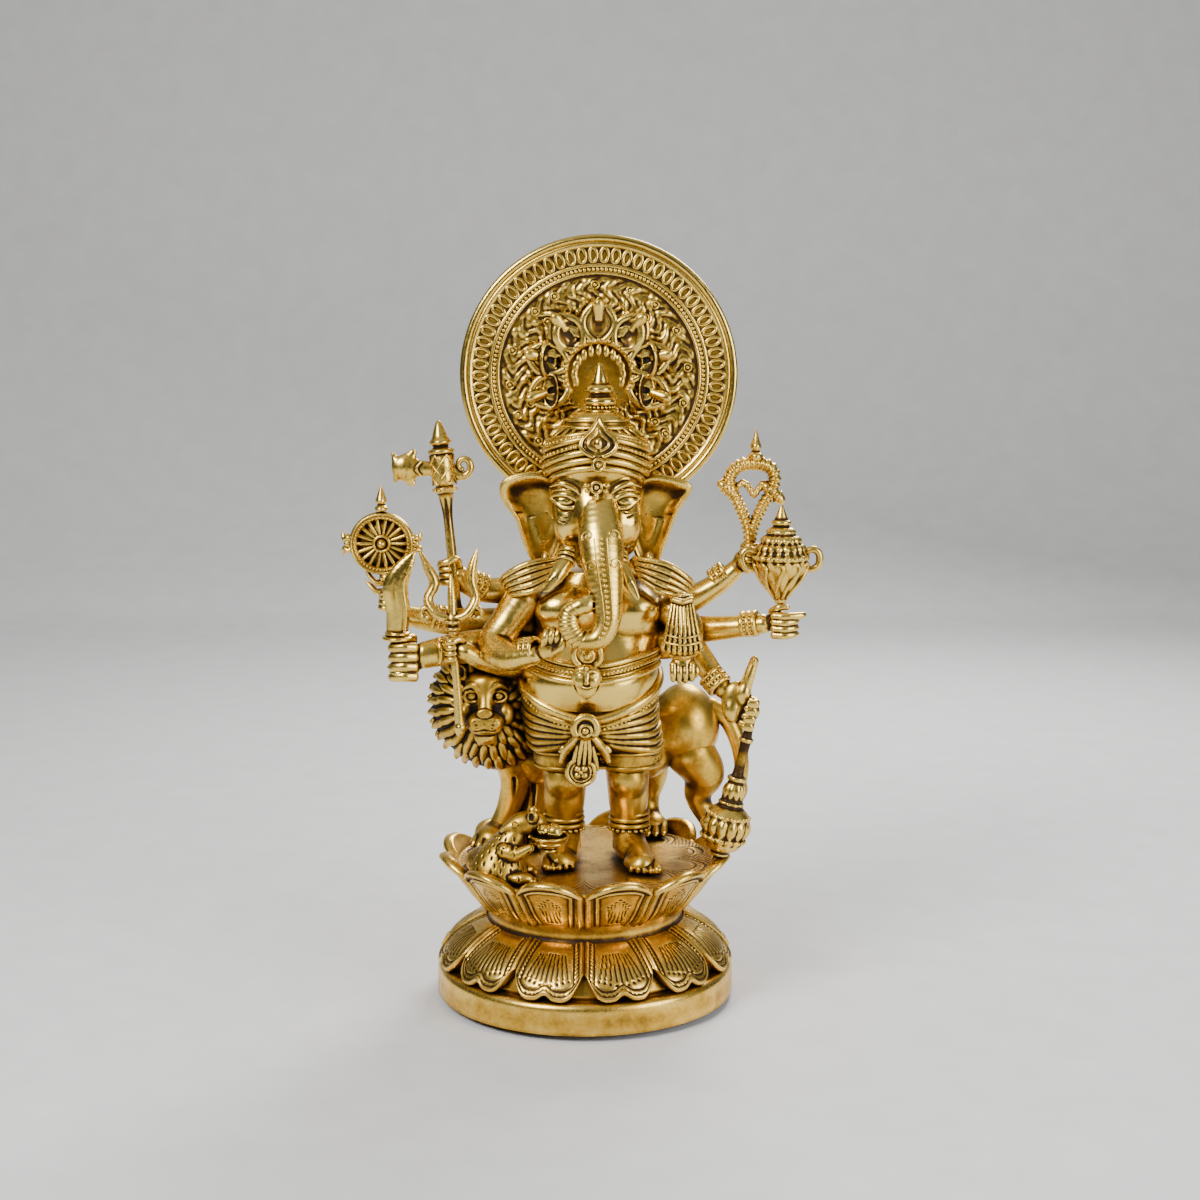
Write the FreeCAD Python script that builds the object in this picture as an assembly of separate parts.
import FreeCAD, Part
import math
import os

# Cast brass idol: an elephant-headed figure with nine arms standing before a lion on a round
# lotus base, a mouse at its feet and a halo disc behind its head.
# Millimetres. +Z is up, the figure faces -Y, +X is the viewer's right.
# The origin is the middle of the base, on the surface that it stands on.

V = FreeCAD.Vector

# ---------------------------------------------------------------- driving dimensions
BASE_RADIUS = 69.4           # foot of the plinth
BASE_WALL = 4.4              # thickness of the hollow base's cast wall
PLINTH_HEIGHT = 14.5
WAIST_RADIUS = 46.0          # narrowest part of the lotus
WAIST_HEIGHT = 38.0
DECK_HEIGHT = 62.0           # surface that the figure stands on
DECK_THICKNESS = 4.0
DECK_RADIUS = 60.0
PETAL_COUNT = 12
PETAL_TIP_HEIGHT = 68.6
FIGURE_X = 5.5               # the figure stands a little to the viewer's right
HIP_HEIGHT = 138.0
HEM_HEIGHT = 106.0
LEG_SPREAD = 15.2            # half the distance between the ankles
HEAD_HEIGHT = 224.0
HEAD_WIDTH = 21.0
HALO_CENTRE = (6.4, 24.0, 286.2)
HALO_RADIUS = 64.6
HALO_THICKNESS = 3.6
HALO_FIELD_RADIUS = 47.0
HOOD_ARCH_RADIUS = 26.0
HOOD_COUNT = 7
BRACELET_BEAD = 1.6          # radius of the wire in a bracelet or anklet
SCREW_RADIUS = 2.5
SCREW_HEAD_RADIUS = 4.5
SMALLEST_PIECE = 12.0        # mm3; a chip smaller than this is not kept after trimming
TOUCHING_SKIN = 0.05         # pieces that share less than this only meet face to face


# ---------------------------------------------------------------- shapes
def turned(profile, foot=(0, 0, 0), lean=(0, 0, 1)):
    """Solid of revolution of (radius, height) points about an axis that starts at foot."""
    outline = [V(radius, 0, height) for radius, height in profile]
    face = Part.Face(Part.makePolygon(outline + outline[:1]))
    solid = face.revolve(V(0, 0, 0), V(0, 0, 1), 360)
    solid.Placement = FreeCAD.Placement(V(*foot), FreeCAD.Rotation(V(0, 0, 1), V(*lean)))
    return solid


def spindle(stations, foot=(0, 0, 0), lean=(0, 0, 1)):
    """Turned solid down to its own axis; stations are (radius, height) from foot to tip."""
    return turned([(0, stations[0][1])] + list(stations) + [(0, stations[-1][1])], foot, lean)


def frame_matrix(centre, x_axis, y_axis, z_axis):
    """Matrix that takes the unit axes to the given vectors and the origin to centre."""
    rows = zip(x_axis, y_axis, z_axis, centre)
    values = [value for row in rows for value in row]
    return FreeCAD.Matrix(*(values + [0, 0, 0, 1]))


def section(centre, x_axis, y_axis):
    """Elliptical wire about centre, with the two half-axes given as vectors."""
    circle = Part.Wire(Part.makeCircle(1.0))
    return circle.transformGeometry(frame_matrix(centre, x_axis, y_axis, x_axis.cross(y_axis)))


def stacked(stations):
    """Upright solid through level ellipses; each station is (z, x, y, half_x, half_y)."""
    wires = [section(V(x, y, z), V(half_x, 0, 0), V(0, half_y, 0))
             for z, x, y, half_x, half_y in stations]
    return Part.makeLoft(wires, True, True)


def limb(stations, flat=1.0, across=(0, -1, 0)):
    """Solid of round sections along a path; stations are (x, y, z, radius).

    flat is the sections' thickness over their width, measured along across."""
    points = [V(x, y, z) for x, y, z, radius in stations]
    side = V(*across)
    wires = []
    for index, station in enumerate(stations):
        ahead = points[min(index + 1, len(points) - 1)] - points[max(index - 1, 0)]
        ahead.normalize()
        side = side - ahead * side.dot(ahead)
        side.normalize()
        radius = station[3]
        wires.append(section(points[index], side * radius * flat, ahead.cross(side) * radius))
    return Part.makeLoft(wires, True, True)


def ball(centre, half_sizes):
    """Ellipsoid with its axes along X, Y and Z, flat at its two poles."""
    x, y, z = centre
    half_x, half_y, half_z = half_sizes
    angles = [math.radians(degrees) for degrees in range(-75, 76, 25)]
    return stacked([(z + half_z * math.sin(angle), x, y, half_x * math.cos(angle),
                     half_y * math.cos(angle)) for angle in angles])


def hoop(centre, axis, radius, wire):
    """Ring of six-sided wire about an axis; wire is half the wire's thickness."""
    corners = [math.radians(60 * corner) for corner in range(6)]
    profile = [(radius + wire * math.cos(angle), wire * math.sin(angle)) for angle in corners]
    return turned(profile, centre, axis)


def fused(*solids):
    """One solid from solids that overlap."""
    return solids[0].multiFuse(list(solids[1:]))


def loose(*solids):
    """Solids that share a node and do not touch."""
    return Part.makeCompound(list(solids))


def plate(outline, depth, front):
    """Flat plate in the XZ plane: outline of (x, z) points, running back from y = front."""
    points = [V(x, front, z) for x, z in outline]
    return Part.Face(Part.makePolygon(points + points[:1])).extrude(V(0, depth, 0))


def bow(centre_x, centre_z, radius, start, end, steps=12):
    """Points (x, z) along an arc in the XZ plane, angles in degrees from +X."""
    angles = [math.radians(start + (end - start) * step / steps) for step in range(steps + 1)]
    return [(centre_x + radius * math.cos(angle), centre_z + radius * math.sin(angle))
            for angle in angles]


# ---------------------------------------------------------------- lotus base
def plinth():
    inner = BASE_RADIUS - BASE_WALL
    return turned([(inner, 0), (BASE_RADIUS, 0), (BASE_RADIUS, 10.5), (BASE_RADIUS - 0.8, 12.8),
                   (BASE_RADIUS - 3.0, PLINTH_HEIGHT), (inner - 3.0, PLINTH_HEIGHT),
                   (inner - 3.0, PLINTH_HEIGHT - 3.0), (inner, PLINTH_HEIGHT - 3.0)])


def lotus_core():
    """Hollow waisted wall between the plinth and the deck."""
    top = DECK_HEIGHT - DECK_THICKNESS
    outside = [(63.0, PLINTH_HEIGHT), (60.0, 21.5), (54.5, 27.5), (WAIST_RADIUS, WAIST_HEIGHT - 3),
               (WAIST_RADIUS, WAIST_HEIGHT + 3), (50.5, 50.0), (55.5, top)]
    inside = [(radius - BASE_WALL, height) for radius, height in reversed(outside)]
    return turned(outside + inside)


def petal_ring(shell, tip_radius, root_radius, notch):
    """Cut a turned shell into petals with rounded tips, seen from above."""
    half_angle = math.pi / PETAL_COUNT
    edge = [(0.97, root_radius), (0.97, tip_radius * 0.90), (0.93, tip_radius * 0.955),
            (0.62, tip_radius * 1.02)]
    outline = [(-across, radius) for across, radius in edge]
    outline += [(0.0, tip_radius * (1.02 - notch))]
    outline += edge[::-1]
    petals = []
    for index in range(PETAL_COUNT):
        middle = (2 * index + 1) * half_angle
        corners = [V(radius * math.cos(middle + across * half_angle),
                     radius * math.sin(middle + across * half_angle), 0)
                   for across, radius in outline]
        prism = Part.Face(Part.makePolygon(corners + corners[:1])).extrude(V(0, 0, 2 * DECK_HEIGHT))
        petals.append(shell.common(prism))
    return loose(*petals)


def lower_petals():
    shell = turned([(63.4, PLINTH_HEIGHT), (69.0, PLINTH_HEIGHT + 1.6), (69.0, 17.4), (66.9, 21.8),
                    (62.4, 27.2), (49.0, WAIST_HEIGHT - 2.0), (WAIST_RADIUS, WAIST_HEIGHT - 3.0),
                    (54.5, 27.5), (60.0, 21.5)])
    return petal_ring(shell, 69.0, WAIST_RADIUS - 2, 0.02)


def upper_petals():
    shell = turned([(WAIST_RADIUS, WAIST_HEIGHT + 3.0), (51.0, 41.4), (54.2, 46.0), (59.2, 55.3),
                    (62.2, 60.0), (67.0, 66.0), (67.8, PETAL_TIP_HEIGHT), (65.0, PETAL_TIP_HEIGHT),
                    (61.0, DECK_HEIGHT), (57.0, DECK_HEIGHT), (55.5, 58.0), (50.5, 50.0)])
    return petal_ring(shell, 67.8, WAIST_RADIUS - 2, 0.0)


def deck():
    return turned([(0, DECK_HEIGHT - DECK_THICKNESS), (DECK_RADIUS, DECK_HEIGHT - DECK_THICKNESS),
                   (DECK_RADIUS, DECK_HEIGHT), (0, DECK_HEIGHT)])


def base_screws():
    """Four screws that come up through the deck into the two feet and the lion's paws."""
    under = DECK_HEIGHT - DECK_THICKNESS
    places = [(FIGURE_X - LEG_SPREAD, -10), (FIGURE_X + LEG_SPREAD, -10), (-44, 26), (34, 44)]
    screws = [spindle([(SCREW_HEAD_RADIUS, under - 3.0), (SCREW_HEAD_RADIUS, under),
                       (SCREW_RADIUS, under), (SCREW_RADIUS, DECK_HEIGHT + 4.0)], (x, y, 0))
              for x, y in places]
    return loose(*screws)


# ---------------------------------------------------------------- figure, legs to belly
def leg(side, toes):
    """side is -1 for the viewer's left; toes is the (x, y) of the front of the foot."""
    x = FIGURE_X + side * LEG_SPREAD
    shin = stacked([(DECK_HEIGHT, x, 2, 7.6, 8.2), (72, x, 1, 7.8, 8.4), (80, x, 0, 8.3, 8.8),
                    (92, x, -2, 9.6, 10.4), (HEM_HEIGHT, x - side * 0.5, -3, 10.8, 11.8)])
    toe_x, toe_y = toes
    sole = [(x, 8, 7.2), (x, -8, 8.6), (toe_x, toe_y, 8.4)]
    foot = fused(*[Part.makeCylinder(radius, 5.2, V(px, py, DECK_HEIGHT)) for px, py, radius in sole])
    instep = limb([(x, 4, DECK_HEIGHT + 7.5, 6.5), (x, -8, DECK_HEIGHT + 6.5, 6.2),
                   (toe_x, toe_y - 2, DECK_HEIGHT + 4.6, 4.4)])
    return fused(shin, foot, instep)


def right_leg():
    return leg(-1, (FIGURE_X - LEG_SPREAD - 1.5, -19.5))


def left_leg():
    return leg(1, (FIGURE_X + LEG_SPREAD + 6.5, -24.0))


def anklets():
    rings = [hoop((FIGURE_X + side * LEG_SPREAD, 0.6, height), (0, 0, 1), 8.6, BRACELET_BEAD)
             for side in (-1, 1) for height in (76.6, 80.0, 83.4)]
    return loose(*rings)


def dhoti():
    """Short pleated wrap, from the hem over both thighs to the hips."""
    return stacked([(HEM_HEIGHT, FIGURE_X - 4, -2, 27.5, 17.0), (114, FIGURE_X - 4, -2, 29.8, 19.0),
                    (126, FIGURE_X - 3.5, -2, 31.0, 21.5), (HIP_HEIGHT, FIGURE_X - 3.5, -2, 31.0, 23.0)])


def torso():
    """Round belly, chest and shoulders."""
    return stacked([(HIP_HEIGHT, FIGURE_X - 3.5, -2, 30.6, 22.6), (146, FIGURE_X - 3, -4, 31.6, 24.0),
                    (156, FIGURE_X - 2.5, -3, 31.0, 23.0), (168, FIGURE_X, 0, 30.0, 19.0),
                    (180, FIGURE_X + 1, 2, 31.0, 16.5), (189, FIGURE_X + 1, 2, 27.0, 15.0),
                    (198, FIGURE_X, 1, 15.0, 12.0)])


def belly_band():
    """Three-strand belt high on the belly, proud of it all round."""
    return stacked([(150.5, FIGURE_X - 2.5, -3.6, 33.0, 25.4), (155.5, FIGURE_X - 2.5, -3.2, 33.0, 25.2),
                    (161.0, FIGURE_X - 2.2, -2.2, 32.4, 23.6)])


def band_buckle():
    """Heart-shaped plate with a ringed boss above it."""
    heart = plate([(0.8, 143.0), (7.2, 151.5), (6.6, 158.0), (0.8, 160.0), (-5.0, 158.0),
                   (-5.6, 151.5)], 4.6, -30.6)
    boss = spindle([(5.6, 0), (5.6, 4.0), (3.8, 5.4), (0.9, 5.8)], (1.2, -25.4, 163.4), (0, -1, 0))
    return fused(heart, boss)


def hip_sash():
    """Rolled sash that hangs in a curve from hip to hip under the belly."""
    path = [(-28.0, -10.0, 150.0), (-25.5, -19.5, 142.5), (-15.0, -27.0, 134.6), (0.5, -29.8, 131.0),
            (16.5, -27.0, 134.6), (28.5, -19.5, 142.5), (32.0, -10.0, 150.0)]
    return limb([point + (3.4,) for point in path])


def sash_knot():
    return spindle([(6.8, 0), (6.8, 4.2), (4.4, 6.4), (1.2, 7.4)], (0.3, -27.5, 128.6), (0, -1, 0))


def front_pendant():
    """Pleated centre strip with a round medallion at its foot."""
    strip = plate([(-5.0, 127), (5.6, 127), (7.4, 114), (4.2, 108), (-7.6, 108), (-9.4, 114)], 4.6, -25.4)
    medallion = spindle([(7.4, 0), (7.4, 3.4), (5.4, 4.6), (1.4, 4.9)], (-1.8, -20.4, 106.4), (0, -1, 0))
    return fused(strip, medallion)


# ---------------------------------------------------------------- head
def head():
    return stacked([(198, FIGURE_X + 0.5, -2, 15.0, 13.0), (210, FIGURE_X + 0.5, -6, 19.0, 17.0),
                    (HEAD_HEIGHT, FIGURE_X, -7, HEAD_WIDTH, 18.6), (237, FIGURE_X, -6, 22.0, 17.5),
                    (248, FIGURE_X, -4, 20.0, 15.5), (256, FIGURE_X, -3, 14.0, 11.0)])


def trunk():
    """Hangs over the chest and curls to the viewer's left."""
    return limb([(6.2, -20, 226, 11.6), (6.4, -28, 215, 11.0), (7.0, -32.5, 203, 9.4),
                 (8.4, -35.5, 190, 7.6), (8.6, -37.5, 179, 6.4), (4.6, -38.5, 171.8, 5.6),
                 (-2.4, -38.5, 171.4, 5.2), (-7.0, -38.0, 177.0, 4.8), (-6.6, -37.5, 184.4, 4.4),
                 (-1.8, -37.5, 187.6, 4.0)])


def tusk(side, root, tip):
    middle = tuple((a + b) / 2 for a, b in zip(root, tip))
    return limb([root + (3.9,), (middle[0] + side * 1.2, middle[1] - 1.5, middle[2] - 0.5, 3.0),
                 tip + (1.1,)])


def right_tusk():
    return tusk(-1, (-7.4, -20.0, 209.0), (-17.3, -31.0, 192.6))


def left_tusk():
    return tusk(1, (13.6, -20.0, 208.0), (23.6, -31.0, 188.9))


def ear(side, outline):
    """Fan-shaped ear: a plate with the lower end narrowed and turned back at the rim."""
    return plate([(FIGURE_X + side * x, z) for x, z in outline], 6.5, -1.5)


def right_ear():
    return ear(-1, [(14.0, 240.0), (24.0, 242.0), (38.0, 239.5), (43.0, 234.5), (40.0, 221.0),
                    (33.0, 208.0), (27.5, 199.0), (20.0, 198.5), (14.0, 206.0)])


def left_ear():
    return ear(1, [(14.0, 240.0), (24.0, 241.0), (35.0, 238.5), (41.6, 234.0), (38.0, 221.0),
                   (32.5, 209.0), (26.5, 200.0), (20.0, 198.5), (14.0, 206.0)])


def earrings():
    """Drop pendants hanging at the lower end of each ear."""
    drops = [spindle([(0.9, 0), (3.4, 3.6), (3.6, 7.0), (1.8, 10.5), (2.2, 13.0)], (x, -11.0, z))
             for x, z in ((-17.0, 195.0), (28.6, 195.0))]
    return loose(*drops)


def turban():
    """Bands of cloth that rise to a low dome in the middle."""
    return stacked([(238.5, FIGURE_X, -5.5, 24.0, 19.6), (244, FIGURE_X, -5.5, 25.4, 20.8),
                    (252, FIGURE_X + 0.6, -4.5, 22.6, 18.6), (260, FIGURE_X + 1.2, -3.5, 15.6, 13.6),
                    (266.5, FIGURE_X + 1.6, -3, 8.6, 8.0), (270.5, FIGURE_X + 1.6, -3, 3.4, 3.4)])


def crest_leaf():
    """Pointed leaf standing on the turban's front, with a boss at its foot."""
    leaf = plate([(5.6, 243.6), (11.4, 248.6), (13.4, 255.0), (10.6, 261.0), (7.1, 266.0),
                  (3.4, 261.0), (0.4, 255.0), (1.4, 248.6)], 6.0, -24.6)
    boss = spindle([(3.9, 0), (3.9, 5.0), (2.0, 6.4), (0.8, 6.6)], (6.2, -20.0, 245.4), (0, -1, 0))
    return fused(leaf, boss)


def brow_jewel():
    return ball((5.8, -25.0, 238.6), (5.4, 2.8, 2.7))


# ---------------------------------------------------------------- halo
def halo_bolt():
    """Bolt from the back of the halo into the neck of the figure."""
    x = HALO_CENTRE[0]
    return spindle([(4.6, 0), (4.6, 3.4), (2.4, 3.4), (2.4, 24.0)], (x, 31.0, 228.6), (0, -1, 0))


def halo_disc():
    x, y, z = HALO_CENTRE
    field = HALO_FIELD_RADIUS
    profile = [(0, 0), (HALO_RADIUS - 3.4, 0), (HALO_RADIUS - 3.4, HALO_THICKNESS + 0.9),
               (field, HALO_THICKNESS + 0.9), (field - 1.0, HALO_THICKNESS), (0, HALO_THICKNESS)]
    return turned(profile, (x, y + HALO_THICKNESS / 2, z), (0, -1, 0))


def halo_rim():
    """Plain raised border round the disc."""
    x, y, z = HALO_CENTRE
    inner = HALO_RADIUS - 3.4
    return turned([(inner, -0.6), (HALO_RADIUS, -0.6), (HALO_RADIUS, HALO_THICKNESS + 1.4),
                   (inner, HALO_THICKNESS + 1.4)], (x, y + HALO_THICKNESS / 2, z), (0, -1, 0))


def cobra_hoods():
    """Row of spread hoods leaning forward in an arch, on one curved back plate."""
    x, y, z = HALO_CENTRE
    front = y - HALO_THICKNESS / 2 - 0.9
    hoods = []
    for index in range(HOOD_COUNT):
        turn = math.radians(-22 + 224 * index / (HOOD_COUNT - 1))
        out_x = math.cos(turn)
        out_z = math.sin(turn)
        hoods.append(limb([(x + 15 * out_x, front + 0.5, z + 15 * out_z, 3.4),
                           (x + HOOD_ARCH_RADIUS * out_x, front - 4.0, z + HOOD_ARCH_RADIUS * out_z, 6.6),
                           (x + 34.0 * out_x, front - 8.5, z + 34.0 * out_z, 4.0)], 0.5))
    arch = bow(x, z, 17.5, -22, 202) + bow(x, z, 13.0, 202, -22)
    return fused(plate(arch, 4.0, front - 4.0), *hoods)


def crown_finial():
    """Stepped knob and cone standing on the turban's dome."""
    return spindle([(6.4, 269.0), (7.6, 271.4), (7.6, 274.4), (5.2, 275.4), (5.2, 277.2), (6.6, 278.6),
                    (6.6, 280.6), (4.4, 282.0), (3.4, 286.0), (1.0, 292.5)], (FIGURE_X + 1.6, -3, 0))


# ---------------------------------------------------------------- emblems
def axe():
    """Pointed knob, latticed barrel, ribbed neck, crescent blade and curled hook."""
    x = -67.4
    head_part = spindle([(4.2, 229), (5.4, 231), (4.4, 234), (6.6, 236.4), (7.4, 239), (7.4, 250),
                         (6.2, 252), (7.2, 254), (6.0, 256.4), (4.0, 258), (4.4, 261), (0.8, 266.5)],
                        (x, 2, 0))
    shaft = limb([(-59.8, -4, 178.4, 2.6), (-60.2, -3, 188, 3.2), (-61.6, -1, 205, 3.3),
                  (-64.4, 1, 220, 3.5), (x, 2, 231, 4.2)])
    blade = plate([(x - 6, 240)] + bow(-74.0, 241.0, 14.6, 128, 238, 8) + [(x - 5, 236)], 3.0, 0.5)
    hook = plate([(x + 5, 249)] + bow(-57.0, 243.4, 6.6, 90, -90, 8) + [(x + 5, 239)], 3.0, 0.5)
    return fused(head_part, shaft, blade, hook)


def discus():
    """Spoked wheel on a leafy stem, a finial on top and a ribbon knot at each side."""
    x = -92.9
    wheel = turned([(0, -1.6), (13.4, -1.6), (13.4, 1.6), (8.6, 1.6), (7.6, 2.8), (0, 2.8)],
                   (x, -2, 210.5), (0, -1, 0))
    finial = spindle([(4.0, 222.5), (4.6, 225), (3.0, 227), (4.6, 229.6), (4.6, 231.6), (3.2, 234),
                      (0.8, 237.4)], (x + 0.6, -2, 0))
    stem = limb([(x, -2, 198.6, 3.6), (-91.2, -2, 191.0, 3.2), (-88.6, -3, 180.5, 3.0)])
    ribbons = [ball((x + side * 15.2, -2, 209.4), (3.4, 2.6, 6.6)) for side in (-1, 1)]
    return fused(wheel, finial, stem, *ribbons)


def sword():
    """Broad curved blade on a round guard."""
    blade = limb([(-84.2, -14, 165.0, 5.6), (-86.2, -14, 178, 6.0), (-86.6, -14, 190, 5.6),
                  (-84.6, -14, 199, 4.2), (-79.9, -14, 207.8, 0.9)], 0.34)
    guard = spindle([(7.6, 0), (8.0, 1.6), (6.4, 3.2)], (-84.2, -14, 163.4))
    grip = limb([(-82.4, -14, 150.5, 3.0), (-84.2, -14, 164.0, 3.0)])
    return fused(blade, guard, grip)


def trident():
    """Two curved prongs rising from a U-shaped fork, and a rod below the hand."""
    fork = limb([(-73.5, -9, 207.6, 1.0), (-69.6, -9, 199.0, 2.3), (-73.2, -9, 188.0, 2.6),
                 (-71.8, -9, 179.6, 2.8), (-64.4, -9, 175.2, 3.0), (-56.4, -9, 175.4, 3.4),
                 (-50.4, -9, 180.4, 3.6), (-48.6, -9, 189.6, 3.0), (-51.0, -9, 198.6, 2.3),
                 (-48.0, -9, 208.5, 1.0)], 0.8)
    rod = limb([(-55.7, -15, 123.4, 3.6), (-57.4, -14.5, 150, 3.2), (-60.0, -10.5, 176.0, 3.0)])
    return fused(fork, rod)


def noose():
    """Looped cord in an upright frame: finial, arch, side knots and struts that meet below."""
    x = 76.6
    finial = spindle([(5.6, 245.5), (6.4, 247.6), (4.6, 249.4), (5.6, 251.6), (4.2, 254), (3.6, 257),
                      (0.8, 262.4)], (x + 0.6, 5, 0))
    arch = bow(x, 237.5, 10.4, 0, 180, 10) + bow(x, 237.5, 4.6, 180, 0, 8)
    struts = plate([(x - 10.4, 237), (x - 4.6, 237), (x - 1.0, 219), (x + 1.6, 219), (x + 4.6, 237),
                    (x + 10.4, 237), (x + 4.0, 208), (x - 4.0, 208)], 5.0, 2.5)
    knots = [ball((x + side * 11.0, 5, 234.6), (4.8, 3.8, 5.2)) for side in (-1, 1)]
    handle = limb([(x - 1.6, 5, 196.0, 3.2), (x, 5, 211.0, 3.6)])
    return fused(plate(arch, 5.0, 2.5), struts, finial, handle, *knots)


def conch():
    """Upright shell: cone tip, ring, fluted tiers, tapering body and a loop at each side."""
    x = 89.2
    shell = spindle([(3.6, 183.5), (5.0, 188), (8.6, 197), (12.2, 204), (12.8, 208), (10.2, 212),
                     (8.4, 216), (5.4, 218.4), (6.2, 220.4), (4.4, 222.4), (0.8, 229.4)],
                    (x, -10, 0))
    loops = [hoop((x + side * 13.6, -10, 202.4), (0, 1, 0), 4.2, 1.6) for side in (-1, 1)]
    return fused(shell, *loops)


def mace():
    """Tiered head down, shaft up into the palm."""
    foot = (58.4, -20.0, 64.2)
    lean = (0.245, -0.02, 1.0)
    return spindle([(2.6, 0), (4.0, 2.6), (3.0, 4.6), (6.0, 7.4), (5.0, 10), (9.6, 14.6), (8.4, 17.6),
                    (11.0, 22.0), (11.0, 30.0), (8.6, 33.6), (9.4, 36.0), (5.6, 39.6), (6.4, 42.4),
                    (4.2, 45.6), (4.6, 50.0), (3.2, 54.0), (3.2, 76.0)], foot, lean)


# ---------------------------------------------------------------- arms, each with its hand
def arm(stations, hand, hand_size):
    """Tapering arm that ends in a closed or open hand."""
    wrist_radius = stations[-1][3]
    return fused(limb(stations + [hand + (wrist_radius * 0.7,)]), ball(hand, hand_size))


def axe_arm():
    return arm([(-22, 8, 181, 8.8), (-34, 7, 187.0, 8.0), (-46, 4.5, 187.6, 6.8), (-55, 2, 192, 5.4)],
               (-60.8, -0.5, 197.0), (7.0, 6.2, 8.6))


def discus_arm():
    return arm([(-20, 10, 172, 8.6), (-42, 10, 172.4, 7.6), (-64, 7, 173.0, 6.4), (-80, 2, 178.6, 5.2)],
               (-89.0, -2.0, 184.0), (6.0, 6.0, 6.6))


def sword_arm():
    return arm([(-22, 4, 160, 8.4), (-40, -1, 162.5, 7.8), (-56, -8, 164.4, 6.4), (-72, -13, 161.2, 4.8)],
               (-82.6, -14, 156.0), (7.2, 6.8, 7.6))


def trident_arm():
    return arm([(-20, 0, 154, 8.4), (-34, -4, 156.0, 7.6), (-46, -10, 160.0, 6.2), (-52, -13, 163.2, 4.8)],
               (-58.2, -14.5, 164.6), (6.6, 6.4, 5.8))


def right_front_arm():
    return arm([(-27, -4, 186, 10.2), (-35, -6, 176, 9.6), (-40.5, -10, 166.4, 8.6),
                (-33.0, -22, 161.4, 6.8), (-21, -30, 164.8, 5.2)],
               (-13.6, -33.5, 168.0), (6.6, 5.4, 6.4))


def noose_arm():
    return arm([(34, 8, 180, 8.8), (47, 8, 184.0, 8.0), (59, 7, 190.6, 6.8), (67, 6, 197.0, 5.4)],
               (74.6, 5, 204.0), (7.2, 6.4, 7.2))


def conch_arm():
    return arm([(32, 6, 170, 8.6), (50, 4, 170.4, 7.8), (66, -2, 172.4, 6.6), (81, -8, 174.6, 5.4)],
               (92.6, -10, 176.6), (8.4, 6.8, 7.6))


def mace_arm():
    return arm([(30, 0, 164, 8.6), (46, -5, 163.4, 8.0), (56, -12, 154.0, 6.6), (63, -17, 145.0, 5.2)],
               (71.0, -20.0, 137.6), (8.4, 5.0, 11.0))


def left_front_arm():
    return arm([(40, -3, 181, 9.8), (46, -6, 173, 8.8), (46, -14, 165, 7.0), (44, -21, 162, 5.6)],
               (43.6, -24, 156.6), (8.6, 5.4, 7.0))


def bracelet_set(places):
    """Pairs of rings round the wrists; each place is (centre, direction of the arm, radius)."""
    rings = []
    for centre, ahead, radius in places:
        step = V(*ahead).normalize() * (2.3 * BRACELET_BEAD)
        for count in (-0.5, 0.5):
            rings.append(hoop(tuple(V(*centre) + step * count), ahead, radius, BRACELET_BEAD))
    return loose(*rings)


def right_bracelets():
    return bracelet_set([((-50.0, 3.4, 189.2), (-9, -2.5, 4.4), 6.6), ((-68.0, -12.0, 162.2), (-16, -5, -3), 5.8),
                         ((-25.0, -27.0, 163.4), (12, -8, 3.4), 6.4)])


def left_bracelets():
    return bracelet_set([((61.6, 6.6, 192.6), (8, -1, 6.4), 6.8), ((76.0, -6.0, 173.8), (15, -6, 2.2), 6.2),
                         ((60.0, -14.8, 149.0), (7, -5, -9), 6.2)])


def scarf_end():
    """Pleated fan of cloth that falls over the front left hand."""
    return limb([(43.2, -21.5, 190.0, 7.2), (43.6, -25.0, 178.0, 8.6), (43.8, -28.5, 167.0, 9.4),
                 (43.8, -30.5, 161.0, 9.6)], 0.36)


def drape(side):
    """Ridged cloth over one shoulder."""
    x = FIGURE_X + side * 1.0
    return limb([(x + side * 14, -10, 200, 6.0), (x + side * 26, -10, 197.5, 6.6),
                 (x + side * 35, -8, 192.6, 6.4), (x + side * 41, -7, 188.6, 4.6)], 1.2)


def right_shoulder_drape():
    return drape(-1)


def left_shoulder_drape():
    return drape(1)


# ---------------------------------------------------------------- lion and mouse
def lion_body():
    return limb([(-38, 22, 124, 17.0), (-20, 27, 117, 18.5), (0, 30, 113, 18.5), (22, 32, 113, 20.0),
                 (40, 32, 114, 22.0), (54, 31, 117, 17.0), (63.4, 30, 119, 6.0)])


def lion_head():
    """Broad mane round a forward face with a round muzzle."""
    mane = stacked([(100.6, -40, 17, 8.0, 8.0), (108, -42, 15, 20.0, 15.0), (120, -44, 13, 28.0, 19.5),
                    (133, -45, 13, 29.4, 20.0), (147, -45, 13, 27.0, 18.5), (157, -44.5, 13, 19.5, 14.0),
                    (163.6, -44, 13, 7.0, 6.0)])
    face = stacked([(116, -46.0, -2, 8.0, 7.0), (124, -46.2, -3, 11.5, 9.0), (136, -45.4, -3, 13.5, 8.5),
                    (148, -44.6, 0, 12.0, 7.0)])
    muzzle = ball((-46.8, -9.5, 128.0), (8.4, 6.6, 7.6))
    return fused(mane, face, muzzle)


def lion_foreleg(path, paw):
    leg_part = limb(path)
    x, y = paw
    foot = ball((x, y, DECK_HEIGHT + 6.4), (9.4, 11.0, 8.4))
    under = Part.makeBox(60, 60, 20, V(x - 30, y - 30, DECK_HEIGHT - 20))
    return fused(leg_part, foot).cut(under)


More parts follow.
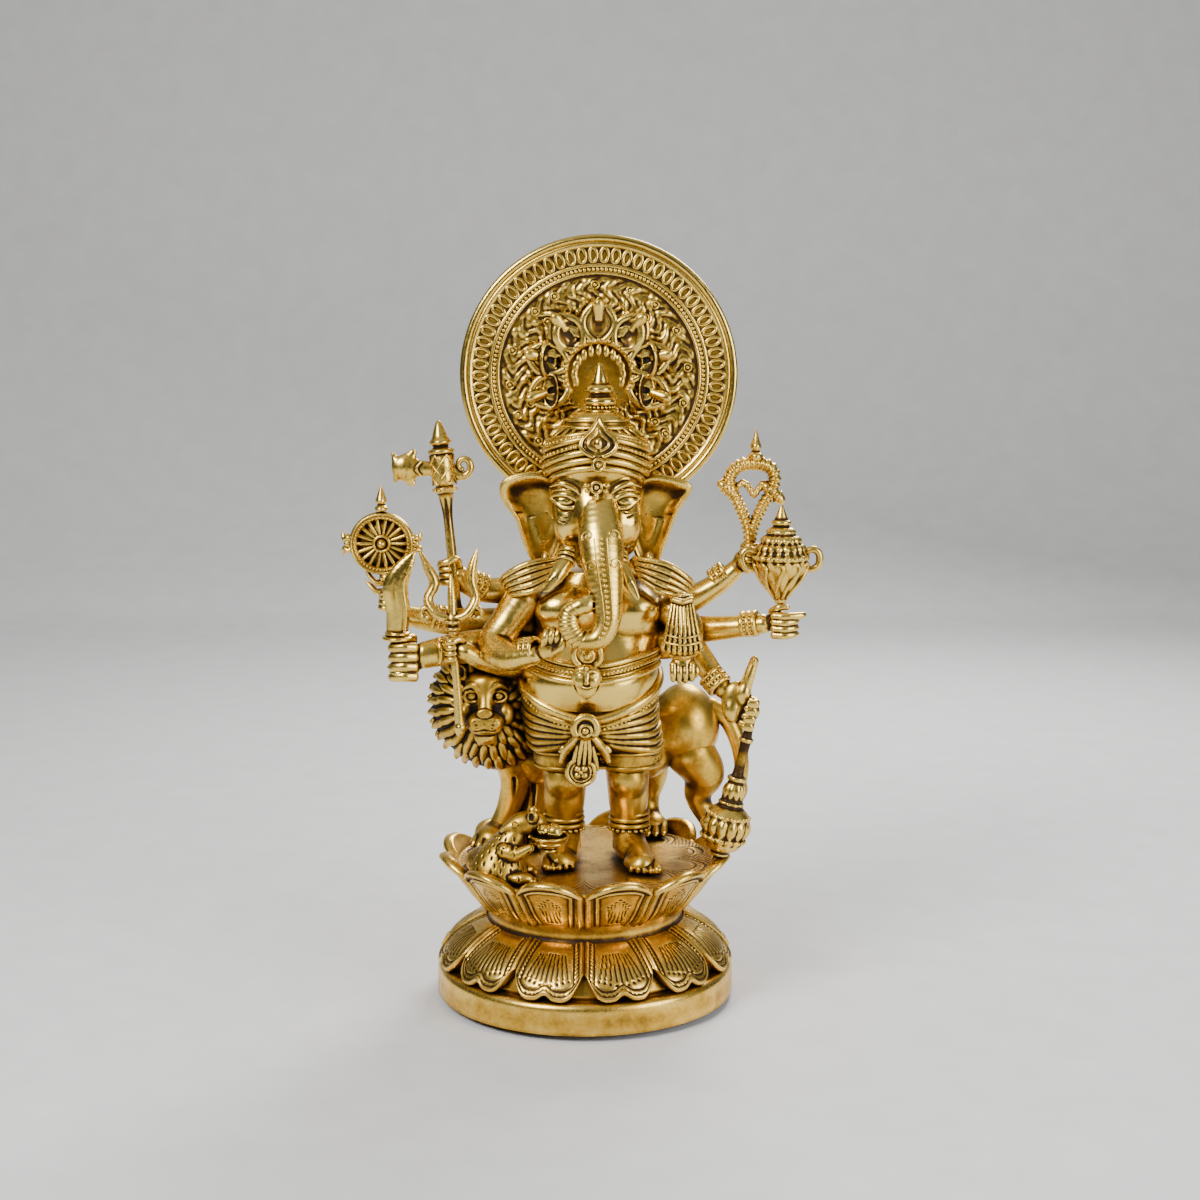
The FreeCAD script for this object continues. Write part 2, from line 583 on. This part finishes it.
def lion_forelegs():
    near = lion_foreleg([(-34, 16, 112, 10.0), (-31.5, 19, 97, 7.8), (-35, 22, 82, 6.4), (-40, 24, 66, 6.0)],
                        (-45.5, 22))
    far = lion_foreleg([(-20, 26, 108, 10.0), (-21.5, 26, 94, 7.6), (-23, 25, 80, 6.6), (-24.6, 24, 66, 6.4)],
                       (-25.4, 19))
    return loose(near, far)


def lion_hindlegs():
    near = lion_foreleg([(50, 32, 108, 13.0), (56, 33, 96, 10.0), (53, 35, 83, 7.0), (60, 32, 70, 6.6)],
                        (66.0, 27))
    far = lion_foreleg([(30, 46, 106, 11.0), (31.5, 48, 92, 8.6), (30, 50, 79, 6.6), (31, 48, 66, 6.4)],
                       (31.5, 42))
    return loose(near, far)


def lion_tail():
    return limb([(58.0, 36, 126, 5.6), (66.0, 35, 122, 5.0), (71.6, 34, 112, 4.6), (74.6, 33, 100, 4.4),
                 (73.6, 32, 88, 4.2), (69.0, 31, 79, 3.8)])


def mouse():
    """Sitting up on the deck, turned towards the figure's feet."""
    body = stacked([(DECK_HEIGHT, -37.5, -38, 14.0, 12.0), (68, -38.5, -37, 14.0, 12.0),
                    (75, -37, -36, 11.0, 10.0), (86, -29, -36, 6.0, 6.0)])
    skull = limb([(-20.5, -36, 87.2, 4.6), (-26, -36, 87.0, 5.4), (-31, -37, 85.6, 4.0),
                  (-35.4, -38, 84.6, 1.6)])
    ear_disc = spindle([(3.4, 0), (3.4, 1.6)], (-20.5, -39.5, 91.0), (0, -1, 0))
    paws = limb([(-34, -44, 70, 3.4), (-26, -46.5, 74, 3.2), (-19.0, -45.5, 78, 3.0)])
    tail = limb([(-48.5, -30, 64.4, 2.0), (-53.0, -22, 64.4, 1.7), (-52.6, -12, 64.4, 1.3)])
    return fused(body, skull, ear_disc, paws, tail)


def laddu_bowl():
    """Shallow bowl with a large and a small sweet in it."""
    bowl = spindle([(3.6, 76.0), (7.4, 78.6), (8.8, 82.6), (7.6, 82.6), (6.6, 80.6)], (-15.6, -40.5, 0))
    return fused(bowl, ball((-13.4, -40.5, 84.0), (4.4, 4.4, 4.4)), ball((-18.0, -41.0, 86.0), (2.8, 2.8, 2.8)))


# ---------------------------------------------------------------- assembly
# A piece lower in this list is hollowed where a piece above it passes through it.
PIECES = [
    base_screws, halo_bolt, deck, lotus_core, plinth, lower_petals, upper_petals,
    torso, dhoti, right_leg, left_leg, head, trunk, right_tusk, left_tusk, right_ear, left_ear,
    earrings,
    axe, discus, sword, trident, noose, conch, mace,
    right_front_arm, left_front_arm, axe_arm, discus_arm, sword_arm, trident_arm,
    noose_arm, conch_arm, mace_arm,
    scarf_end, right_shoulder_drape, left_shoulder_drape, belly_band, band_buckle,
    sash_knot, front_pendant, hip_sash, anklets, right_bracelets, left_bracelets,
    crest_leaf, brow_jewel, turban, crown_finial, halo_disc, halo_rim, cobra_hoods,
    lion_head, lion_body, lion_forelegs, lion_hindlegs, lion_tail, mouse, laddu_bowl,
]


def meets(box, other):
    """True where two bounding boxes share more than a skin."""
    spans = ((box.XMin, box.XMax, other.XMin, other.XMax), (box.YMin, box.YMax, other.YMin, other.YMax),
             (box.ZMin, box.ZMax, other.ZMin, other.ZMax))
    return all(min(high, other_high) - max(low, other_low) > TOUCHING_SKIN
               for low, high, other_low, other_high in spans)


def trimmed(solid, blockers):
    """What is left of a piece after the pieces it meets are taken out of it."""
    near = [other for other in blockers if meets(other.BoundBox, solid.BoundBox)]
    if not near:
        return solid
    rest = solid.cut(near)
    kept = [piece for piece in rest.Solids if piece.Volume > SMALLEST_PIECE]
    if len(solid.Solids) == 1:
        return max(kept, key=lambda piece: piece.Volume)
    return Part.makeCompound(kept)


def main():
    os.makedirs("parts", exist_ok=True)
    placed = []
    for build in PIECES:
        solid = trimmed(build(), placed)
        placed.append(solid)
        solid.exportStep("parts/" + build.__name__ + ".step")
        print(build.__name__, round(solid.Volume), len(solid.Solids), solid.isValid())


main()
